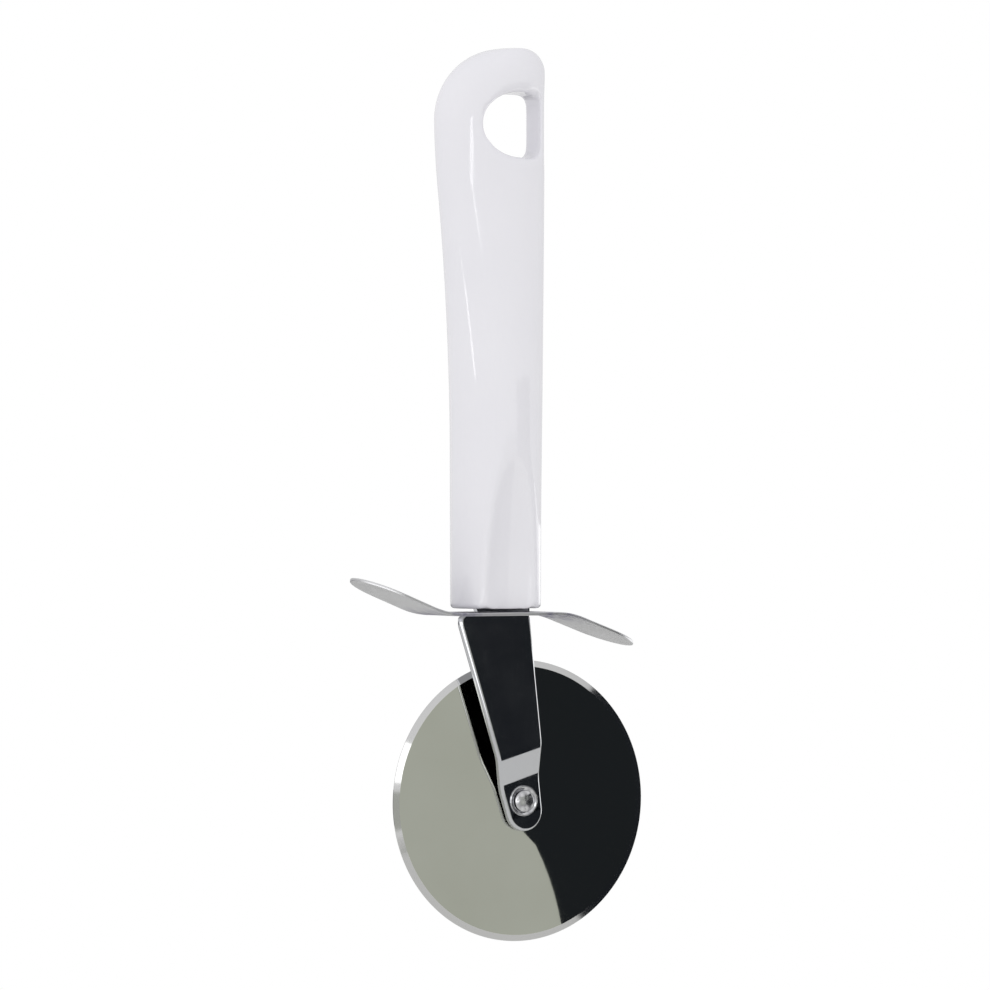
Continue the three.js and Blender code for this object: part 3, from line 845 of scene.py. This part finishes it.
def makeGuard(material):
    g = guardShape
    straight = g["length"] / 2 - g["tipLength"]
    squash = g["width"] / 2 / g["tipLength"]
    plan = (arc((straight, 0), g["tipLength"], -90, 90, 48, squash)
            + arc((-straight, 0), g["tipLength"], 90, 270, 48, squash))
    middle = axisX + g["centreX"] * mm
    level = (guardLow.z + guardHigh.z) / 2 - g["thickness"] / 2 * mm
    points = [Vector((middle + x * mm, y * mm, level)) for x, y in plan]
    guard = drawOutline("guard_strip", points)
    thicken(guard, (0, 0, g["thickness"] * mm))
    slotSize = (g["slotWidth"] * mm, g["slotThick"] * mm, g["slotDeep"] * mm)
    slotCentre = (axisX + tangShape["centreX"] * mm, 0, level)
    cutAway(guard, cubeCutter("slot_cutter", slotCentre, slotSize))
    bendGuard(guard, middle)
    applyModifier(guard, "BEVEL", width=g["edgeRound"] * mm, segments=3, limit_method="ANGLE",
                  angle_limit=math.radians(50), use_clamp_overlap=True)
    smoothShade(guard, 35, weighted=True)
    finishPiece(guard, "finger_guard", "holder", material)


def bendGuard(guard, middle):
    g = guardShape
    angle = math.radians(g["leftAngle"])
    start = g["bendAt"] - g["bendRadius"] * math.tan(angle / 2)
    end = start + g["bendRadius"] * math.sin(angle)
    for side in (-1, 1):
        lines = [start + (end - start) * i / g["cuts"] for i in range(g["cuts"] + 1)]
        for line in lines:
            cutAcross(guard, Vector((middle + side * line * mm, 0, 0)), Vector((1, 0, 0)))
    startEdit(guard)
    bpy.ops.mesh.select_all(action="DESELECT")
    mesh = bmesh.from_edit_mesh(guard.data)
    rows = sorted({round(abs(v.co.x - middle) / mm, 3) for v in mesh.verts})
    rows = [row for row in rows if row > start]
    for side, degrees in ((-1, g["leftAngle"]), (1, g["rightAngle"])):
        for row in rows:
            pickVerts(guard, lambda co: abs(side * (co.x - middle) / mm - row) < 0.002)
            bpy.ops.transform.translate(value=(0, 0, -side * wingRise(row, degrees) * mm))
    endEdit()


# ---- weld tacks

weldShape = {"radius": 1.4, "lumps": 0.25, "lumpMiddle": 0.6, "voxel": 0.07}


def makeWeld(name, node, lumpSize, material):
    w = weldShape
    low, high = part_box(node)
    deselectAll()
    bpy.ops.mesh.primitive_uv_sphere_add(segments=40, ring_count=24, radius=1, location=(0, 0, 0))
    weld = bpy.context.object
    startEdit(weld)
    bpy.ops.mesh.select_all(action="SELECT")
    bpy.ops.transform.resize(value=((high.x - low.x) / 2, w["radius"] * mm, w["radius"] * mm),
                             center_override=(0, 0, 0))
    bpy.ops.transform.translate(value=((high.x + low.x) / 2, high.y, high.z))
    for point, normal in (((0, high.y, 0), (0, 1, 0)), ((0, 0, high.z), (0, 0, 1))):
        bpy.ops.mesh.select_all(action="SELECT")
        bpy.ops.mesh.bisect(plane_co=point, plane_no=normal, use_fill=True, clear_outer=True)
    endEdit()
    settle(weld, name)
    applyModifier(weld, "REMESH", mode="VOXEL", voxel_size=w["voxel"] * mm)
    lumps = bpy.data.textures.new(name + "_lumps", "CLOUDS")
    lumps.noise_scale = lumpSize * mm
    applyModifier(weld, "DISPLACE", texture=lumps, texture_coords="LOCAL",
                  strength=w["lumps"] * mm, mid_level=w["lumpMiddle"])
    applyModifier(weld, "SMOOTH", factor=0.5, iterations=4)
    onlySelect(weld)
    bpy.ops.object.shade_smooth()
    finishPiece(weld, node, "holder", material)


# ---- wheel and axle

wheelShape = {
    "bore": 2.58, "boreBreak": 0.08, "bevel": 1.45, "bevelBlend": 0.05, "rim": 0.5,
    "edge": 0.25, "steps": 256,
}


def makeWheel(material):
    w = wheelShape
    radius = (wheelHigh.x - wheelLow.x) / 2 / mm
    front, back = wheelLow.y / mm, wheelHigh.y / mm
    middle = (front + back) / 2
    land = radius - w["bevel"]
    rim = land - w["rim"]
    bore, chip = w["bore"], w["boreBreak"]
    profile = [
        (bore, front + chip), (bore + chip, front), (rim, front), (land, front),
        (radius, middle - w["edge"] / 2), (radius, middle + w["edge"] / 2),
        (land, back), (rim, back), (bore + chip, back), (bore, back - chip),
        (bore, front + chip),
    ]
    wheel = turn("wheel_disc", profile, w["steps"])
    smoothShade(wheel, 8)
    finishPiece(wheel, "cutting_wheel", "wheel", material)


def domed(radius, apex, edge, steps=10):
    points = []
    for i in range(steps + 1):
        angle = math.pi / 2 * i / steps
        points.append((radius * math.sin(angle), edge + (apex - edge) * math.cos(angle)))
    return points


rivetShape = {
    "headRadius": 2.5, "headFoot": 2.4, "headEdge": 0.22, "shankRadius": 1.5,
    "collarRadius": 2.5, "rearFoot": 4.5, "rearRadius": 4.6, "rearEdge": 0.4,
    "seatGap": 0.02, "collarGap": 0.05, "steps": 96,
}


def makeRivet(material):
    r = rivetShape
    low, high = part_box("axle_rivet")
    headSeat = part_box("front_washer")[0].y / mm - r["seatGap"]
    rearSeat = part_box("rear_washer")[1].y / mm + r["seatGap"]
    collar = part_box("arm_and_tang")[1].y / mm + r["collarGap"]
    profile = domed(r["headRadius"], low.y / mm, headSeat - r["headEdge"])
    profile += [
        (r["headFoot"], headSeat), (r["shankRadius"], headSeat), (r["shankRadius"], collar),
        (r["collarRadius"], collar), (r["collarRadius"], rearSeat), (r["rearFoot"], rearSeat)]
    profile += domed(r["rearRadius"], high.y / mm, rearSeat + r["rearEdge"])[::-1]
    rivet = turn("rivet_turned", profile, r["steps"])
    smoothShade(rivet, 35)
    finishPiece(rivet, "axle_rivet", "holder", material)


washerShape = {
    "frontBore": 1.7, "frontOuter": 3.5, "frontDish": 0.24,
    "rearBore": 2.7, "rearOuter": 5.4, "rearDish": 0.0,
    "edgeBreak": 0.08, "lipWidth": 0.55, "lipFoot": 0.25, "lipCrown": 0.3, "lipBrow": 0.2,
    "steps": 96,
}


# A washer, dished in front by so many mm inside its lip.
def makeWasher(name, node, bore, outer, dish, material):
    w = washerShape
    low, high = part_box(node)
    front, back = low.y / mm, high.y / mm
    r = w["edgeBreak"]
    sunk = front + dish
    lip = outer - w["lipWidth"]
    profile = [
        (bore, sunk + r * 0.5), (bore + r, sunk), (lip - w["lipFoot"], sunk),
        (lip, sunk - dish * 0.3), (outer - w["lipCrown"], front + r * 0.3),
        (outer - w["lipBrow"], front), (outer - r, front + r * 0.2),
        (outer, front + r), (outer, back - r), (outer - r, back), (bore + r, back),
        (bore, back - r * 0.5), (bore, sunk + r * 0.5),
    ]
    washer = turn(name, profile, w["steps"])
    smoothShade(washer, 30)
    finishPiece(washer, node, "holder", material)


handleAbs = mouldedAbs()
armSteel = groundStainless()
guardSteel = satinStainless()
wheelSteel = mirrorStainless()
rivetSteel = peenedStainless()
weldSteel = weldMetal()
print("materials ready")

makeHandle(handleAbs)
makeArm(armSteel)
makeGuard(guardSteel)
makeWeld("weld_tack_left", "guard_weld_left", 0.9, weldSteel)
makeWeld("weld_tack_right", "guard_weld_right", 0.6, weldSteel)
makeWheel(wheelSteel)
makeRivet(rivetSteel)
for side in ("front", "rear"):
    makeWasher("washer_" + side, side + "_washer", washerShape[side + "Bore"],
               washerShape[side + "Outer"], washerShape[side + "Dish"], rivetSteel)


# ---- stage, camera and light

studio = {
    "azimuth": -28, "distance": 1.269, "lens": 200.9, "lookAboveMouth": 26.0, "lookLeft": 0.143,
    "floorBelow": 0.25, "floorSize": 3.0, "floor": "#F4F4F2",
    "skyMiddle": 0.94, "skySwing": 0.17, "skyBright": -50,   # degrees, where the window is
}


def emitter(name, code, strength):
    material = bpy.data.materials.new(name)
    material.use_nodes = True
    tree = material.node_tree
    tree.nodes.clear()
    out = addNode(tree, "ShaderNodeOutputMaterial")
    addNode(tree, "ShaderNodeEmission", {}, {"Color": hexColour(code), "Strength": strength},
            {"Emission": out.inputs["Surface"]})
    return material


def makeFloor():
    s = studio
    deselectAll()
    bpy.ops.mesh.primitive_plane_add(size=s["floorSize"], location=(
        0, 0, wheelLow.z - s["floorBelow"]))
    floor = settle(bpy.context.object, "studio_floor")
    material, _, main = newMaterial("matt_paper_floor", Roughness=0.9)
    main.inputs["Base Color"].default_value = hexColour(s["floor"])
    floor.data.materials.append(material)


# A card stands round the axle at an azimuth, out of view, and shows only in the steel and gloss.
# Its outline is in mm to the right and up, as the wheel sees it from the axle.
def makeCard(name, azimuth, outline, code, strength=1.0, reach=350):
    turned = math.radians(azimuth)
    outward = Vector((math.sin(turned), -math.cos(turned), 0))
    across = Vector((math.cos(turned), math.sin(turned), 0))
    centre = axle + outward * reach * mm
    points = [centre + across * x * mm + Vector((0, 0, z * mm)) for x, z in outline]
    card = drawOutline(name, points)
    card.data.materials.append(emitter(name + "_light", code, strength))
    card.visible_camera = False
    card.visible_diffuse = False
    card.visible_shadow = False


# Pale room that is a little brighter towards the window, and plain white behind the cutter.
def makeSky():
    s = studio
    world = bpy.data.worlds.new("pale_studio")
    world.use_nodes = True
    tree = world.node_tree
    back = tree.nodes["Background"]
    back.inputs["Color"].default_value = (1, 1, 1, 1)
    turned = math.radians(s["skyBright"])
    window = (math.sin(turned), -math.cos(turned), 0)
    place = addNode(tree, "ShaderNodeTexCoord").outputs["Generated"]
    facing = addNode(tree, "ShaderNodeVectorMath", {"operation": "DOT_PRODUCT"}, {
        0: place, 1: window})
    level = addNode(tree, "ShaderNodeMath", {"operation": "MULTIPLY_ADD"}, {
        0: facing.outputs["Value"], 1: s["skySwing"], 2: s["skyMiddle"]})
    path = addNode(tree, "ShaderNodeLightPath")
    addNode(tree, "ShaderNodeMix", {"data_type": "FLOAT"}, {
        "Factor": path.outputs["Is Camera Ray"], "A": level.outputs["Value"], "B": 1},
        {0: back.inputs["Strength"]})
    bpy.context.scene.world = world


def makeCamera():
    s = studio
    turned = math.radians(s["azimuth"])
    target = Vector((axisX - s["lookLeft"] * mm, 0, mouthZ + s["lookAboveMouth"] * mm))
    back = Vector((math.sin(turned), -math.cos(turned), 0))
    data = bpy.data.cameras.new("product_camera")
    data.lens = s["lens"]
    data.sensor_width = 36
    data.clip_end = 20
    camera = bpy.data.objects.new("product_camera", data)
    bpy.context.scene.collection.objects.link(camera)
    camera.location = target + back * s["distance"]
    camera.rotation_euler = (target - camera.location).to_track_quat("-Z", "Y").to_euler()
    bpy.context.scene.camera = camera


makeFloor()
# the wheel's dark right half: its free edge leans, then rounds off and hangs straight below the axle
makeCard("black_card", 28, (
    [(-12, 130), (-10, 17), (2, -28)] + arc((-73, -71), 88, 26, 0, 8)
    + [(15, -150), (60, -150), (110, -190), (270, -190), (300, 0), (250, 130)]), "#23262A")
# the greenish grey that the left half mirrors
makeCard("grey_card", 17, [
    (-190, -70), (-190, -2), (-150, -2), (-150, 84), (150, 84), (150, -110), (-150, -110),
    (-150, -70)], "#C8CAC3", 1.0, 385)
# two slits of window light, for the fine line on the handle's head and grip
makeCard("head_slit", -28, [
    (120, 186), (110, 175), (50, 158), (40, 160), (85, 175), (100, 186)], "#FFFFFF", 5)
makeCard("grip_slit", -68, [(-14, 99), (-14, 114), (14, 114), (14, 99)], "#FFFFFF", 5)
# the window's sill, low on the left, for the arm's left edge
makeCard("sill_light", -45, [
    (-140, -25), (-140, 38), (92, 38), (92, 8), (40, 8), (40, -25)], "#FFFFFF", 2.4, 120)
# a bright panel to the right, for the arm's right edge and the lower end of the arm
makeCard("side_panel", 100, [(-205, -60), (-205, 60), (200, 60), (200, -60)], "#FFFFFF", 1.9)
# low dark cards behind the cutter give its steel the dark outlines
makeCard("back_right_card", 150, [(-160, -72), (-160, 15), (200, 15), (200, -72)], "#1C1D20")
makeCard("back_left_card", -146, [(-240, -72), (-240, 15), (240, 15), (240, -72)], "#8A8A8C")
makeSky()
makeCamera()
bpy.context.scene.view_settings.view_transform = "Standard"
bpy.context.scene.view_settings.look = "None"
print("stage ready")
